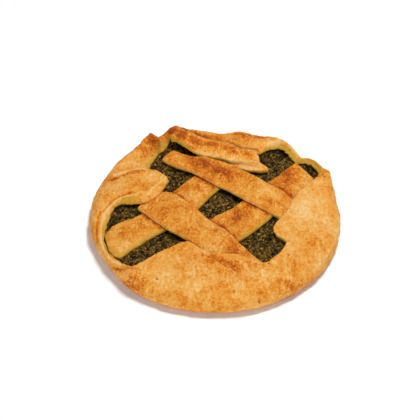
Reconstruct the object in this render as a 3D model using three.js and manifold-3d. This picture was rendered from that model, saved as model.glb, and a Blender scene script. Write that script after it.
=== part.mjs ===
// A rustic round vegetable pie with a lattice top, in millimetres, +Z up, resting on z = 0.
// The viewer stands on the -Y side. One sheet of dough makes the floor, the bulging wall and
// the border, which is folded in over the filling by hand, so its inner edge is irregular.
// Two long strips of dough lie over two cross strips, on a dark green filling that runs
// through the whole pie and shows in the windows between them.
import * as THREE from "three";
import { mergeVertices } from "three/addons/utils/BufferGeometryUtils.js";
import Module from "manifold-3d";

const wasm = await Module();
wasm.setup();

// ---------- driving sizes ----------
const DOUGH = 3.8; // thickness of the rolled dough
const STRIP = 3.6; // thickness of a baked lattice strip
const AIR = 0.35; // air left between pieces that touch
const FILLING_TOP = 18.1; // level of the filling in the middle of the pie
const BULGE_HEIGHT = 8; // height at which the wall is widest
const FOOT_INSET = 8; // how far the flat underside stays inside the widest line
const FOOT_TURN = [2.6, 2.4]; // point between the flat and the widest line: in from it, and up
const CREST_SHARE = 0.62; // most of the border's width that lies outside its crest
const EDGE_ROUND = 1.1; // rounding of a cut dough edge
const COLUMN_STEP = 8.25; // spacing of the mesh columns round the border
const CRUMB_HEIGHT = 0.9; // relief of the chopped leaves in the filling
const FILLING_AIR = 0.6; // air between the filling and the dough round it
const SHELL_AIR = 0.5; // least air there where the dough is folded sharply
const FILLING_CEILING = 26; // the filling doesn't rise into the peaks of the rim
const FILLING_RINGS = [0.975, 0.92, 0.85, 0.77, 0.69, 0.61, 0.53, 0.44, 0.34, 0.2]; // rings, lip to pole
const FILLING_POLE = new THREE.Vector2(-45, -8); // the rings close under a crossing of two strips

// The rim, by angle round the pie (0 = right, 90 = back): [degrees, widest radius,
// height of the crest, distance of the crest in from the widest line].
const RIM = [
  [270, 130, 25.5, 38],
  [315, 130, 25.5, 36],
  [345, 129, 26, 30],
  [5, 128.5, 27.5, 20],
  [14, 129, 29.5, 10],
  [20, 130.5, 31, 4],
  [24, 129, 29.5, 4],
  [28, 127.5, 28.5, 4],
  [34, 127, 28.5, 4],
  [39, 122.5, 25.5, 4],
  [45, 124, 28, 4.5],
  [53, 129, 30, 7],
  [62, 129, 29.5, 9],
  [70, 126, 28, 10],
  [77, 127, 28, 9],
  [86, 125, 24.5, 10],
  [97, 128, 27.5, 9],
  [104, 129, 31, 8],
  [109, 129.5, 38, 7],
  [114, 128, 36, 5],
  [117.5, 125.5, 31, 4.5],
  [120, 124, 27, 4.5],
  [122.5, 127, 35.5, 4.5],
  [125.5, 129, 38, 5],
  [129, 129.5, 33, 7],
  [134, 129.5, 28.5, 9],
  [146, 130, 27, 11],
  [160, 130, 24.5, 15],
  [175, 130, 22.5, 15],
  [186, 129.5, 20.5, 10],
  [196, 128.5, 19, 6],
  [205, 127, 17.5, 2.6],
  [213, 127, 17.2, 2.6],
  [221, 128, 18.5, 4],
  [229, 129.5, 23, 11],
  [243, 130, 25.5, 34],
];

// The inner edge of the border, by the rim angle it is folded in from: [degrees, x, y, top].
const RIGHT_FOLD = [
  [338, 58, -31, 26.5],
  [343, 63, -24.5, 27],
  [350, 72, -11, 27.5],
  [0, 79.5, 6, 27.5],
  [8, 88.5, 20, 28],
  [15, 100, 33, 28],
  [20, 108, 43, 28],
];
const BACK_RIGHT_WINDOWS = [
  [24.5, 110, 51.5, 27],
  [29, 107, 60, 26.5],
  [33.5, 101, 67, 26],
  [36.5, 95, 69.5, 24.5],
  [39.5, 87.5, 70.5, 22.5],
  [43.5, 83.5, 77.5, 24.5],
  [48, 78.5, 86, 26],
  [52.5, 72, 92, 26.5],
  [56.5, 64.5, 93, 26],
  [61, 57, 89.5, 26],
];
const UNDER_BACK_FLAP = [
  [65, 47, 80, 26],
  [73, 31, 79, 27],
  [86, 8, 86, 28],
  [98, -16, 94, 29.5],
  [105, -33, 100, 30.5],
  [110, -42, 104, 32],
];
const NOTCH = [
  [114, -49, 106, 27],
  [119, -54, 97, 21.5],
];
const LEFT_BACK = [
  [124, -62, 90.5, 21.5],
  [129, -66, 81, 21],
  [137, -71.5, 69, 21],
  [144, -73, 57, 20.5],
];
const UNDER_LEFT_FLAP = [
  [154, -79, 37, 20.5],
  [165, -88, 14, 21],
];
const CURL = [
  [173.5, -98, 8, 21.5],
  [179, -106, 2, 21],
  [184.5, -111, -10.5, 20],
  [191, -114, -24.5, 19],
  [198, -114.5, -39, 17.8],
  [205.5, -111, -53, 17],
  [212, -105, -64.5, 16.8],
  [217.5, -98, -73, 17.3],
  [222.5, -90, -79.5, 19],
  [226.5, -83, -84.5, 21.5],
];
const FRONT_FOLD = [
  [230, -76.5, -86, 24],
  [234, -63, -76, 26],
  [239, -47, -64.5, 26.6],
  [245.5, -28.5, -55, 26.8],
  [252.5, -18, -61.5, 26.8],
  [261, -7, -68.5, 26.8],
  [273, 9, -71.5, 26.8],
  [284, 24, -74, 26.8],
  [299, 46, -84, 26.8],
];
const RIGHT_TAB = [
  [307, 55, -77, 26.8],
  [315, 63.5, -67, 26.8],
  [322, 69, -56.5, 26.8],
  [326, 64.5, -50.5, 26.5],
  [330, 58.5, -45.5, 26.5],
  [334, 56, -38, 26.5],
];
const LIP = [
  ...RIGHT_FOLD,
  ...BACK_RIGHT_WINDOWS,
  ...UNDER_BACK_FLAP,
  ...NOTCH,
  ...LEFT_BACK,
  ...UNDER_LEFT_FLAP,
  ...CURL,
  ...FRONT_FOLD,
  ...RIGHT_TAB,
];

// How far the inner face of the lip slopes in under it: [degrees, reach].
const LINING = [
  [15, 0],
  [24, 2.5],
  [50, 3],
  [58, 3],
  [66, 0],
  [112, 0],
  [124, 2.5],
  [144, 2.5],
  [154, 0],
  [172, 0],
  [179, 3],
  [184.5, 5],
  [191, 5],
  [198, 4.2],
  [212, 3.6],
  [222.5, 3.4],
  [227, 2.5],
  [232, 0],
  [300, 0],
];

// Loose flaps of the border, each between two edges of [x, y, top].
const LEFT_FLAP = {
  far: [
    [-119, 20, 21],
    [-112, 35, 23.5],
    [-99, 47, 26.5],
    [-84, 52, 28.5],
    [-69, 54, 29],
    [-58, 48, 28.5],
    [-48, 34, 28],
  ],
  near: [
    [-119, -7, 19],
    [-107, 1.5, 21.5],
    [-97, 6, 24.5],
    [-85, 3, 27],
    [-74, 3, 28],
    [-62, 12, 28.5],
    [-50, 29, 28],
  ],
};
const BACK_FLAP = {
  far: [
    [-50, 104, 33.5],
    [-42, 111, 38],
    [-31, 109, 36.5],
    [-18, 104, 33.5],
    [-4, 98, 31.5],
    [8, 95, 31],
    [21, 88, 30.5],
    [44, 82, 30],
  ],
  near: [
    [-48, 99, 28.5],
    [-42, 98, 30],
    [-35, 91, 29.5],
    [-25, 82, 28.5],
    [-13, 75.5, 28.5],
    [0, 72, 28.5],
    [14, 67, 28],
    [48, 62, 27],
  ],
};
const BACK_TONGUE = {
  far: [
    [4, 92, 25],
    [26, 84, 25],
    [44, 72, 25],
    [56, 60, 23.5],
  ],
  near: [
    [4, 70, 23.5],
    [26, 58, 24],
    [42, 54, 23.8],
    [57, 56.5, 22.5],
  ],
};

// Lattice strips, each between two edges of [x, y, top], from left to right.
const LONG_STRIP_FRONT = {
  far: [
    [-66, 26, 22.6],
    [-54, 22, 23.8],
    [-44, 18, 25.6],
    [-26, 0, 27.2],
    [-6, -22, 25.6],
    [14, -43, 26.8],
    [32, -67, 24.8],
    [46, -82, 23.6],
    [56, -93, 22],
  ],
  near: [
    [-79.5, -3, 22.8],
    [-72, -13, 25],
    [-64, -22, 26.4],
    [-47, -37, 26],
    [-28, -52, 26],
    [-13, -65, 24.4],
    [6, -84, 22],
  ],
};
const LONG_STRIP_BACK = {
  far: [
    [-45, 90, 24],
    [-27, 79, 25],
    [-8, 74, 27.4],
    [10, 66, 27],
    [32, 53, 26],
    [54, 33, 26.8],
    [68, 22, 26.2],
    [79, 12, 24],
    [86, 3, 22.4],
  ],
  near: [
    [-58, 74, 23.5],
    [-44, 62, 24],
    [-24, 50, 26.6],
    [-6, 35, 26.4],
    [15, 20, 26],
    [37, 1, 26.8],
    [52, -10, 25.8],
    [64, -20, 24],
    [71, -28, 22.4],
  ],
};
const CROSS_STRIP_LEFT = {
  far: [
    [-110.3, -39.5, 17.4],
    [-106, -28.5, 19],
    [-93, -20.5, 21.4],
    [-77, -12, 22.4],
    [-45, 22, 22.7],
    [-30, 41, 22.7],
    [-14, 58, 22.7],
    [-6, 67, 22.7],
  ],
  near: [
    [-105.5, -58.5, 17],
    [-95, -69.5, 17.4],
    [-80, -58, 20.6],
    [-60, -42, 22.2],
    [-20, -7, 22.7],
    [-9, 11, 22.7],
    [6, 30, 22.7],
    [18, 42, 22.7],
  ],
};
const CROSS_STRIP_RIGHT = {
  far: [
    [-36, -68, 21.6],
    [-24, -50, 22],
    [-5, -18, 22.7],
    [15, -4, 22.7],
    [40, 21, 22.7],
    [63, 46, 22.9],
    [86, 69, 23.4],
  ],
  near: [
    [-12, -88, 21.6],
    [4, -76, 22],
    [23, -51, 22.7],
    [46, -28, 22.7],
    [66, -4, 22.7],
    [86, 16, 22.9],
    [108, 34, 23.2],
  ],
};

// ---------- small helpers ----------
const rad = THREE.MathUtils.degToRad;
const lerp = THREE.MathUtils.lerp;

// A closed Catmull-Rom value through rows whose first entry is an angle in degrees.
function aroundCircle(rows, degrees) {
  const sorted = [...rows].sort((a, b) => a[0] - b[0]);
  const n = sorted.length;
  const angle = ((degrees % 360) + 360) % 360;
  let i = sorted.findIndex((row) => row[0] > angle);
  if (i < 0) i = n;
  const at = (k) => {
    const turn = Math.floor(k / n);
    const row = sorted[k - turn * n];
    return [row[0] + 360 * turn, ...row.slice(1)];
  };
  const [before, from, to, after] = [i - 2, i - 1, i, i + 1].map(at);
  const t = (angle - from[0]) / (to[0] - from[0]);
  return from.slice(1).map((value, k) => {
    const slopeIn = (to[k + 1] - before[k + 1]) / (to[0] - before[0]);
    const slopeOut = (after[k + 1] - value) / (after[0] - from[0]);
    const span = to[0] - from[0];
    const t2 = t * t;
    const t3 = t2 * t;
    return (
      (2 * t3 - 3 * t2 + 1) * value +
      (t3 - 2 * t2 + t) * span * slopeIn +
      (3 * t2 - 2 * t3) * to[k + 1] +
      (t3 - t2) * span * slopeOut
    );
  });
}

// Gentle, fixed unevenness, as a hand-rolled edge has.
function wobble(t, size) {
  return size * (Math.sin(t * 1.7) * 0.5 + Math.sin(t * 4.3 + 1) * 0.3 + Math.sin(t * 9.1 + 2) * 0.2);
}

// Relief of the chopped leaves.
function crumbs(x, y) {
  const coarse = Math.sin(0.71 * x + 0.9 * Math.sin(0.53 * y)) * Math.sin(0.83 * y + 1.3);
  const fine = Math.sin(1.93 * x - 1.1 * y) * Math.sin(1.57 * y + 0.8 * x);
  return CRUMB_HEIGHT * (0.6 * coarse + 0.4 * fine);
}

function solidFrom(geometry) {
  const bare = geometry.clone();
  bare.deleteAttribute("normal");
  bare.deleteAttribute("uv");
  const merged = mergeVertices(bare, 1e-3);
  const mesh = new wasm.Mesh({
    numProp: 3,
    vertProperties: new Float32Array(merged.attributes.position.array),
    triVerts: new Uint32Array(merged.index.array),
  });
  return new wasm.Manifold(mesh);
}

function geometryFrom(solid) {
  const mesh = solid.getMesh();
  const geometry = new THREE.BufferGeometry();
  geometry.setAttribute("position", new THREE.BufferAttribute(mesh.vertProperties, 3));
  geometry.setIndex(new THREE.BufferAttribute(mesh.triVerts, 1));
  geometry.computeVertexNormals();
  return geometry;
}

// Closed skin over a grid of points, rows[i][j]: each row is a closed ring, and the first
// and last rows are closed by a point (a pole) each.
function closedSkin(firstPole, rows, lastPole) {
  const ring = rows[0].length;
  const points = [firstPole, ...rows.flat(), lastPole];
  const index = [];
  const id = (i, j) => 1 + i * ring + (j % ring);
  for (let j = 0; j < ring; j++) {
    index.push(0, id(0, j + 1), id(0, j));
    for (let i = 0; i + 1 < rows.length; i++) {
      index.push(id(i, j), id(i, j + 1), id(i + 1, j + 1));
      index.push(id(i, j), id(i + 1, j + 1), id(i + 1, j));
    }
    index.push(id(rows.length - 1, j), id(rows.length - 1, j + 1), points.length - 1);
  }
  const geometry = new THREE.BufferGeometry().setFromPoints(points);
  geometry.setIndex(index);
  return geometry;
}

// ---------- the dough sheet: floor, wall and border ----------

// Columns of the border: where each one starts on the rim and ends on the lip.
function borderColumns() {
  const columns = [];
  let angle = 0;
  while (angle < 360) {
    const [radius, crest, inset] = aroundCircle(RIM, angle);
    const [x, y, lip] = aroundCircle(LIP, angle);
    const rim = new THREE.Vector2(radius * Math.cos(rad(angle)), radius * Math.sin(rad(angle)));
    const edge = new THREE.Vector2(x, y);
    const width = rim.distanceTo(edge);
    const inward = edge.clone().sub(rim).divideScalar(width);
    const crestIn = Math.min(inset, CREST_SHARE * width);
    const lining = Math.max(0, aroundCircle(LINING, angle)[0]);
    columns.push({ rim, edge, width, inward, crest, lip, lining, inset: crestIn });
    // The next column is one step on, along the rim or along the lip, whichever runs faster.
    const ahead = aroundCircle(LIP, angle + 1);
    const lipSpeed = Math.hypot(ahead[0] - x, ahead[1] - y);
    const rimSpeed = rad(1) * radius;
    angle += COLUMN_STEP / Math.max(lipSpeed, rimSpeed);
  }
  return columns;
}

// Height of the crust's outer skin at a distance in from the rim.
function outerHeight(column, distance) {
  if (distance <= column.inset) {
    const across = (column.inset - distance) / column.inset;
    return BULGE_HEIGHT + (column.crest - BULGE_HEIGHT) * Math.sqrt(Math.max(0, 1 - across * across));
  }
  const t = (distance - column.inset) / (column.width - column.inset);
  return lerp(column.crest, column.lip, t * t * (3 - 2 * t));
}

function place(column, distance, height) {
  const p = column.inward;
  return new THREE.Vector3(column.rim.x + p.x * distance, column.rim.y + p.y * distance, height);
}

// Section of the underside of the dough, from the lip out and down to the floor.
function innerSection(column, grow) {
  const wall = DOUGH + grow;
  const nose = Math.max(column.width - 0.5 * DOUGH + grow, wall + 0.3);
  const section = [1, 0.5, 0.12].map((share) => {
    const distance = lerp(wall, nose, share);
    return [distance, outerHeight(column, distance) - DOUGH - grow];
  });
  section.push([wall, Math.min(BULGE_HEIGHT, section[2][1] - 1)]);
  section.push([FOOT_INSET + 2 + grow, DOUGH + grow]);
  return section;
}

function crustSection(column, grow = 0) {
  const { inset, width, lining } = column;
  const section = [
    [FOOT_INSET, 0],
    FOOT_TURN,
    [0, BULGE_HEIGHT],
  ];
  for (const turn of [24, 48, 70, 90]) {
    const distance = inset * (1 - Math.cos(rad(turn)));
    section.push([distance, outerHeight(column, distance)]);
  }
  for (const share of [0.3, 0.6, 0.85]) {
    const distance = lerp(inset, width - 0.4 * DOUGH, share);
    section.push([distance, outerHeight(column, distance)]);
  }
  section.push([width - 0.35 * DOUGH + grow, column.lip]);
  section.push([width + 0.4 * lining + grow, column.lip - 0.3 * DOUGH]);
  section.push([width + lining + grow, column.lip - 0.75 * DOUGH - grow]);
  return [...section, ...innerSection(column, grow)];
}

function skinFromSections(columns, section, firstPole, lastPole) {
  const sections = columns.map((column) => section(column).map(([d, h]) => place(column, d, h)));
  const rows = sections[0].map((_, i) => sections.map((points) => points[i]));
  return solidFrom(closedSkin(firstPole, rows, lastPole));
}

// ---------- sheets of dough between two edges: strips and flaps ----------
function edgeCurve(points) {
  return new THREE.CatmullRomCurve3(points.map((p) => new THREE.Vector3(...p)), false, "centripetal");
}

// A closed sheet between two edges. across is the number of spans over its width, crown the
// swelling of its middle, lining how far its near side slopes out, and grow adds the same
// margin all round, to cut a neighbour back.
function doughSheet({ far, near }, options) {
  const { steps, across = 4, thick = STRIP, crown = 0.7, ragged = 0.5, lining = 0, grow = 0 } = options;
  const farEdge = edgeCurve(far);
  const nearEdge = edgeCurve(near);
  const rows = [];
  for (let i = 0; i <= steps; i++) {
    const t = i / steps;
    const a = farEdge.getPointAt(t);
    const b = nearEdge.getPointAt(t);
    const along = farEdge.getTangentAt(t).add(nearEdge.getTangentAt(t)).setZ(0).normalize();
    const side = b.clone().sub(a).setZ(0).normalize();
    a.addScaledVector(side, wobble(t * 17 + far[0][0], ragged) - grow);
    b.addScaledVector(side, wobble(t * 19 + near[0][1], ragged) + grow);
    const end = i === 0 ? -grow : i === steps ? grow : 0;
    a.addScaledVector(along, end);
    b.addScaledVector(along, end);
    const width = a.distanceTo(b);
    const top = [];
    const bottom = [];
    for (let k = 0; k <= across; k++) {
      const onEdge = k === 0 || k === across;
      const share = k === 0 ? EDGE_ROUND / width : k === across ? 1 - EDGE_ROUND / width : k / across;
      const rise = crown * Math.sin(Math.PI * share);
      const p = a.clone().lerp(b, share).add(new THREE.Vector3(0, 0, rise + grow));
      if (onEdge) p.z -= 0.15 * thick;
      top.push(p);
      const q = a.clone().lerp(b, k / across);
      q.z = p.z - thick - 2 * grow + (onEdge ? 0.15 * thick : 0);
      if (k === across) q.addScaledVector(side, lining);
      bottom.push(q);
    }
    const shoulder = (edge) => edge.clone().add(new THREE.Vector3(0, 0, -0.45 * thick));
    const sloped = shoulder(b).addScaledVector(side, 0.5 * lining);
    rows.push([shoulder(a), ...top, sloped, ...bottom.reverse()]);
  }
  const middle = (row) => {
    const half = Math.floor(across / 2);
    return row[1 + half].clone().lerp(row[row.length - 1 - half], 0.5);
  };
  return solidFrom(closedSkin(middle(rows[0]), rows, middle(rows[steps])));
}

// ---------- the pieces ----------
const strips = {
  long_strip_front: [LONG_STRIP_FRONT, { steps: 24 }],
  long_strip_back: [LONG_STRIP_BACK, { steps: 24 }],
  cross_strip_left: [CROSS_STRIP_LEFT, { steps: 20 }],
  cross_strip_right: [CROSS_STRIP_RIGHT, { steps: 20 }],
};
const flaps = [
  [LEFT_FLAP, { steps: 16, across: 5, thick: DOUGH, crown: 1.5, lining: 2.4 }],
  [BACK_FLAP, { steps: 18, across: 4, thick: 4.6, crown: 1.6 }],
  [BACK_TONGUE, { steps: 7, across: 2, thick: DOUGH, crown: 0.3 }],
];

function stripSolid(name, grow = 0) {
  const [edges, options] = strips[name];
  return doughSheet(edges, { ...options, grow });
}

// The cross strips lie under the long ones, so the long ones' undersides are cut to fit.
function fittedStrips() {
  const solids = {};
  for (const name of ["cross_strip_left", "cross_strip_right"]) solids[name] = stripSolid(name);
  for (const name of ["long_strip_front", "long_strip_back"]) {
    solids[name] = stripSolid(name)
      .subtract(stripSolid("cross_strip_left", AIR))
      .subtract(stripSolid("cross_strip_right", AIR));
  }
  return solids;
}

// The dough without the strips; grow moves its inner side and its lip outwards.
function doughShell(columns, grow = 0) {
  let shell = skinFromSections(
    columns,
    (column) => crustSection(column, grow),
    new THREE.Vector3(0, 0, 0),
    new THREE.Vector3(0, 0, DOUGH + grow),
  );
  for (const [edges, options] of flaps) shell = shell.add(doughSheet(edges, { ...options, grow }));
  return shell;
}

function crustSolid(columns) {
  let crust = doughShell(columns);
  for (const name of Object.keys(strips)) crust = crust.subtract(stripSolid(name, AIR));
  return largest(crust);
}

// A point on top of the filling, from under the lip (share 1) to the pole (share 0).
function fillingPoint(column, share) {
  const nearLip = Math.min(column.lip - 1.1 * DOUGH, FILLING_TOP + 2.5);
  const t = THREE.MathUtils.smoothstep(share, 0.8, 1);
  const p = FILLING_POLE.clone().lerp(column.edge, share);
  const relief = crumbs(p.x, p.y) * Math.min(1, 4 * (1 - share) + 0.2);
  return new THREE.Vector3(p.x, p.y, lerp(FILLING_TOP, nearLip, t) + relief);
}

function fillingSolid(columns) {
  const sections = columns.map((column) => {
    const under = innerSection(column, FILLING_AIR).reverse().map(([distance, height]) => {
      return place(column, distance, Math.min(height, FILLING_CEILING));
    });
    return [...under, ...FILLING_RINGS.map((share) => fillingPoint(column, share))];
  });
  const rows = sections[0].map((_, i) => sections.map((points) => points[i]));
  const floor = new THREE.Vector3(0, 0, DOUGH + FILLING_AIR);
  const pole = new THREE.Vector3(FILLING_POLE.x, FILLING_POLE.y, FILLING_TOP);
  let filling = solidFrom(closedSkin(floor, rows, pole))
    .subtract(doughShell(columns, SHELL_AIR))
    .subtract(doughShell(columns).translate([0, 0, -AIR]));
  for (const name of Object.keys(strips)) filling = filling.subtract(stripSolid(name, AIR));
  return largest(filling);
}

function largest(solid) {
  return solid.decompose().sort((a, b) => b.volume() - a.volume())[0];
}

// ---------- the model ----------
const finishes = {
  crust: { color: 0xdd9a45, roughness: 0.55 },
  filling: { color: 0x3a3414, roughness: 0.7 },
  strip: { color: 0xe09a3e, roughness: 0.5 },
};

function pieceMesh(name, solid, { color, roughness }) {
  const material = new THREE.MeshStandardMaterial({ color, roughness, metalness: 0 });
  const mesh = new THREE.Mesh(geometryFrom(solid), material);
  mesh.name = name;
  return mesh;
}

const columns = borderColumns();
const pie = new THREE.Group();
pie.add(pieceMesh("crust", crustSolid(columns), finishes.crust));
pie.add(pieceMesh("filling", fillingSolid(columns), finishes.filling));
for (const [name, solid] of Object.entries(fittedStrips())) {
  pie.add(pieceMesh(name, solid, finishes.strip));
}
// The origin is the middle of the underside of the bounding box.
const middle = new THREE.Box3().setFromObject(pie).getCenter(new THREE.Vector3());
pie.position.set(-middle.x, -middle.y, 0);

export default pie;
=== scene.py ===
"""Looks of a rustic lattice pie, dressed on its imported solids.

Metres, +Z up, the viewer on the -Y side. Places on the pie are given in
millimetres on its plan, from the origin of the row, and heights in
millimetres above the floor.
"""

import math
import random

import bpy
import numpy as np
from mathutils import Matrix, Vector
from mathutils.bvhtree import BVHTree
from mathutils.kdtree import KDTree


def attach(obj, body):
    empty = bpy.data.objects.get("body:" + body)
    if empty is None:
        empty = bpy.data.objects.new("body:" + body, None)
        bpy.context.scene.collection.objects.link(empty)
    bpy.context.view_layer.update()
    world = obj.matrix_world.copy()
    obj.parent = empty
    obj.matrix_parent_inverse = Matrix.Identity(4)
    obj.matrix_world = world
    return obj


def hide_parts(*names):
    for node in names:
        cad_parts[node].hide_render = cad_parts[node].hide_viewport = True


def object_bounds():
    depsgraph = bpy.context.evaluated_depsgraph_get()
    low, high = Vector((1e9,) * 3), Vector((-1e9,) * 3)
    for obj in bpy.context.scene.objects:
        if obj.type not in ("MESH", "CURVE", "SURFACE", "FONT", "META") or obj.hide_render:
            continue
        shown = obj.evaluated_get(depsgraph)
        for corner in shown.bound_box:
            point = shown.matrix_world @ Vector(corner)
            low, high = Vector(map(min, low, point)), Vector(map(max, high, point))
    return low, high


MM = 0.001
LONG_STRIPS = ("long_strip_front", "long_strip_back")
CROSS_STRIPS = ("cross_strip_left", "cross_strip_right")

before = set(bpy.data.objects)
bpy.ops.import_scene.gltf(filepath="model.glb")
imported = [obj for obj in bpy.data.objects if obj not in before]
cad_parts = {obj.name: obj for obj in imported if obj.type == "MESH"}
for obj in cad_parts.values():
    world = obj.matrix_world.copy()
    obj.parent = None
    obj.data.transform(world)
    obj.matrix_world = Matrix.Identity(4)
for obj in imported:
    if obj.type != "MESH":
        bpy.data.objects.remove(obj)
cad_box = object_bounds()


# ---------------------------------------------------------------- sizes of the work
# Voxels of the even skins, in mm, and the rounds that soften them.
CRUST_VOXEL = 0.9
STRIP_VOXEL = 0.6
FILLING_VOXEL = 0.7
DOUGH_ROUNDS = 3
FILLING_ROUNDS = 2
CRUST_TRIANGLES = 190_000
FILLING_TRIANGLES = 170_000
MERGE_WITHIN = 0.002  # mm between loose corners of a CAD mesh that are one
WEIGHT_LEVELS = 80  # steps of a vertex group
SKIN_CLEARANCE = 0.02  # mm that a ray starts off its own skin
ABOVE_THE_PIE = 60  # mm, where rays start down from
TOUCHING = 0.6  # mm from a point on the plan that still counts as on it
SOFTENING = 0.5  # strength of a round that softens a skin
PATCH_FALL = 1.2  # how fast a soft oval fades towards its edge

# Limits that a reading fades in between: heights and air in mm, slopes as the upward part of the normal.
FILLING_SLOPES = (0.1, 0.5)
FILLING_AIR = (1.0, 2.5)
FILLING_AIR_SEARCH = 6
FILLING_HEIGHTS = (8, 11)
CRUST_AIR = (1.2, 2.2)
CRUST_AIR_SEARCH = 3
CRUST_HEIGHTS = (0.8, 5)
STRIP_SLOPES = (-0.2, 0.4)

# Relief all over a piece: name, texture, size and height in mm.
CRUST_RELIEF = [
    ("hand shaped", "CLOUDS", 26, 2.6),
    ("rolled dough", "CLOUDS", 9, 1.7),
    ("fine bubbles", "CLOUDS", 3, 0.6),
]
STRIP_RELIEF = [
    ("hand cut", "CLOUDS", 17, 1.8),
    ("rolled dough", "CLOUDS", 7, 1.2),
    ("fine bubbles", "CLOUDS", 2.6, 0.5),
]
FILLING_RELIEF = [
    ("spooned", "CLOUDS", 14, 2.2),
    ("leaf lumps", "VORONOI", 2.6, -2.2),
    ("leaf crumbs", "CLOUDS", 1.3, 1.6),
]

# Baked blisters: how far out they lie, their half widths in mm and how much of the height they reach.
BLISTER_COUNT = 90
BLISTER_RING = (60, 126)
BLISTER_WIDTHS = (1.8, 5.0)
BLISTER_SHARES = (0.3, 1.0)
BLISTER_HEIGHT = 0.7
BLISTER_LEVELS = (14, 18)
BLISTER_SEED = 41

# Bits of chopped leaf: half lengths in mm, build of a bit about 2 units across, and how it lies.
LEAF_HALVES = (0.45, 0.55, 0.65, 0.8, 1.0, 1.3)
LEAF_LENGTH, LEAF_WIDTH = 1.2, 0.85
LEAF_CRUMPLE = [("crumple", "CLOUDS", 0.55, 1.3)]
LEAF_STRIDE = (3.7, 1.9, 2.3)  # from one shape's place in the crumple texture to the next
LEAF_SHAPES = 4
LEAF_TIP = (0.7, 0.6)  # spread of the tip about X and Y, in radians
LEAF_DRIFT = 0.5  # mm off its point on the filling
LEAF_SINK, LEAF_RISE = -0.1, 0.35  # of its half length


# ---------------------------------------------------------------- hand tools
def work_on(piece):
    bpy.ops.object.select_all(action="DESELECT")
    piece.select_set(True)
    bpy.context.view_layer.objects.active = piece


def keep(piece, modifier):
    work_on(piece)
    bpy.ops.object.modifier_apply(modifier=modifier.name)


def dough_copy(node, name):
    """A merged copy of a CAD node's mesh, to be reshaped."""
    piece = bpy.data.objects.new(name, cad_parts[node].data.copy())
    bpy.context.scene.collection.objects.link(piece)
    piece.data.materials.clear()
    work_on(piece)
    bpy.ops.object.mode_set(mode="EDIT")
    bpy.ops.mesh.select_all(action="SELECT")
    bpy.ops.mesh.remove_doubles(threshold=MERGE_WITHIN * MM)
    bpy.ops.object.mode_set(mode="OBJECT")
    return piece


def even_skin(piece, voxel, rounds):
    """Gives the piece an even, fine skin and softens its edges as baking does."""
    skin = piece.modifiers.new("even skin", "REMESH")
    skin.mode = "VOXEL"
    skin.voxel_size = voxel * MM
    skin.use_smooth_shade = True
    keep(piece, skin)
    soft = piece.modifiers.new("soft edges", "SMOOTH")
    soft.factor = SOFTENING
    soft.iterations = rounds
    keep(piece, soft)


def read_vertices(piece, field):
    """The vertices' co or normal, one row each."""
    rows = np.zeros(len(piece.data.vertices) * 3, np.float32)
    piece.data.vertices.foreach_get(field, rows)
    return rows.reshape(-1, 3)


def points_of(piece):
    return read_vertices(piece, "co") / MM


def ease(value, low, high):
    """0 below low, 1 above high, and a smooth rise between them."""
    t = np.clip((value - low) / (high - low), 0.0, 1.0)
    return t * t * (3 - 2 * t)


def weigh(piece, name, amounts):
    """A vertex group from an array of amounts between 0 and 1."""
    group = piece.vertex_groups.new(name=name)
    steps = np.rint(np.clip(amounts, 0, 1) * WEIGHT_LEVELS).astype(int)
    for step in np.unique(steps):
        if step:
            chosen = np.nonzero(steps == step)[0].tolist()
            group.add(chosen, step / WEIGHT_LEVELS, "REPLACE")
    return name


def press(piece, name, amounts, height):
    """Raises (or, with a negative height in mm, dents) the skin where amounts say."""
    push = piece.modifiers.new(name, "DISPLACE")
    push.vertex_group = weigh(piece, name, amounts)
    push.mid_level = 0.0
    push.strength = height * MM
    keep(piece, push)


def crinkle(piece, relief, group="", unit=MM):
    """Relief from procedural textures, within a vertex group if one is named."""
    for name, kind, size, height in relief:
        texture = bpy.data.textures.new(name, kind)
        texture.noise_scale = size * unit
        push = piece.modifiers.new(name, "DISPLACE")
        push.texture = texture
        push.texture_coords = "LOCAL"
        push.vertex_group = group
        push.mid_level = 0.5
        push.strength = height * unit
        keep(piece, push)


def thin_out(piece, shown, triangles):
    """Fewer faces where the piece doesn't show."""
    count = sum(len(p.vertices) - 2 for p in piece.data.polygons)
    if count <= triangles:
        return
    fewer = piece.modifiers.new("thin out", "DECIMATE")
    fewer.vertex_group = weigh(piece, "unseen", 1 - shown)
    fewer.vertex_group_factor = 1.0
    fewer.ratio = triangles / count
    keep(piece, fewer)


def note(piece, name, amounts):
    """A named number on every vertex, which the materials read."""
    layer = piece.data.attributes.new(name=name, type="FLOAT", domain="POINT")
    layer.data.foreach_set("value", np.clip(amounts, 0, 1).astype(np.float32))


def near_line(co, line, reach):
    """1 on a line of plan points, falling to 0 at reach mm from it."""
    best = np.full(len(co), np.inf)
    for (ax, ay), (bx, by) in zip(line, line[1:]):
        dx, dy = bx - ax, by - ay
        along = (co[:, 0] - ax) * dx + (co[:, 1] - ay) * dy
        t = np.clip(along / (dx * dx + dy * dy), 0, 1)
        away = np.hypot(co[:, 0] - ax - t * dx, co[:, 1] - ay - t * dy)
        best = np.minimum(best, away)
    return 1 - ease(best, 0, reach)


def marked(co, rows):
    """Adds up lines given as: plan points, reach in mm, heights it fades in between, amount."""
    total = np.zeros(len(co))
    for line, reach, heights, amount in rows:
        total += near_line(co, line, reach) * ease(co[:, 2], *heights) * amount
    return total


def patches(co, spots):
    """Adds up soft ovals given as: x, y, half length, half width, turn in degrees, amount."""
    total = np.zeros(len(co))
    for x, y, long, wide, turn, amount in spots:
        c, s = math.cos(math.radians(turn)), math.sin(math.radians(turn))
        u = ((co[:, 0] - x) * c + (co[:, 1] - y) * s) / long
        v = (-(co[:, 0] - x) * s + (co[:, 1] - y) * c) / wide
        total += amount * np.exp(-PATCH_FALL * (u * u + v * v))
    return total


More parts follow.
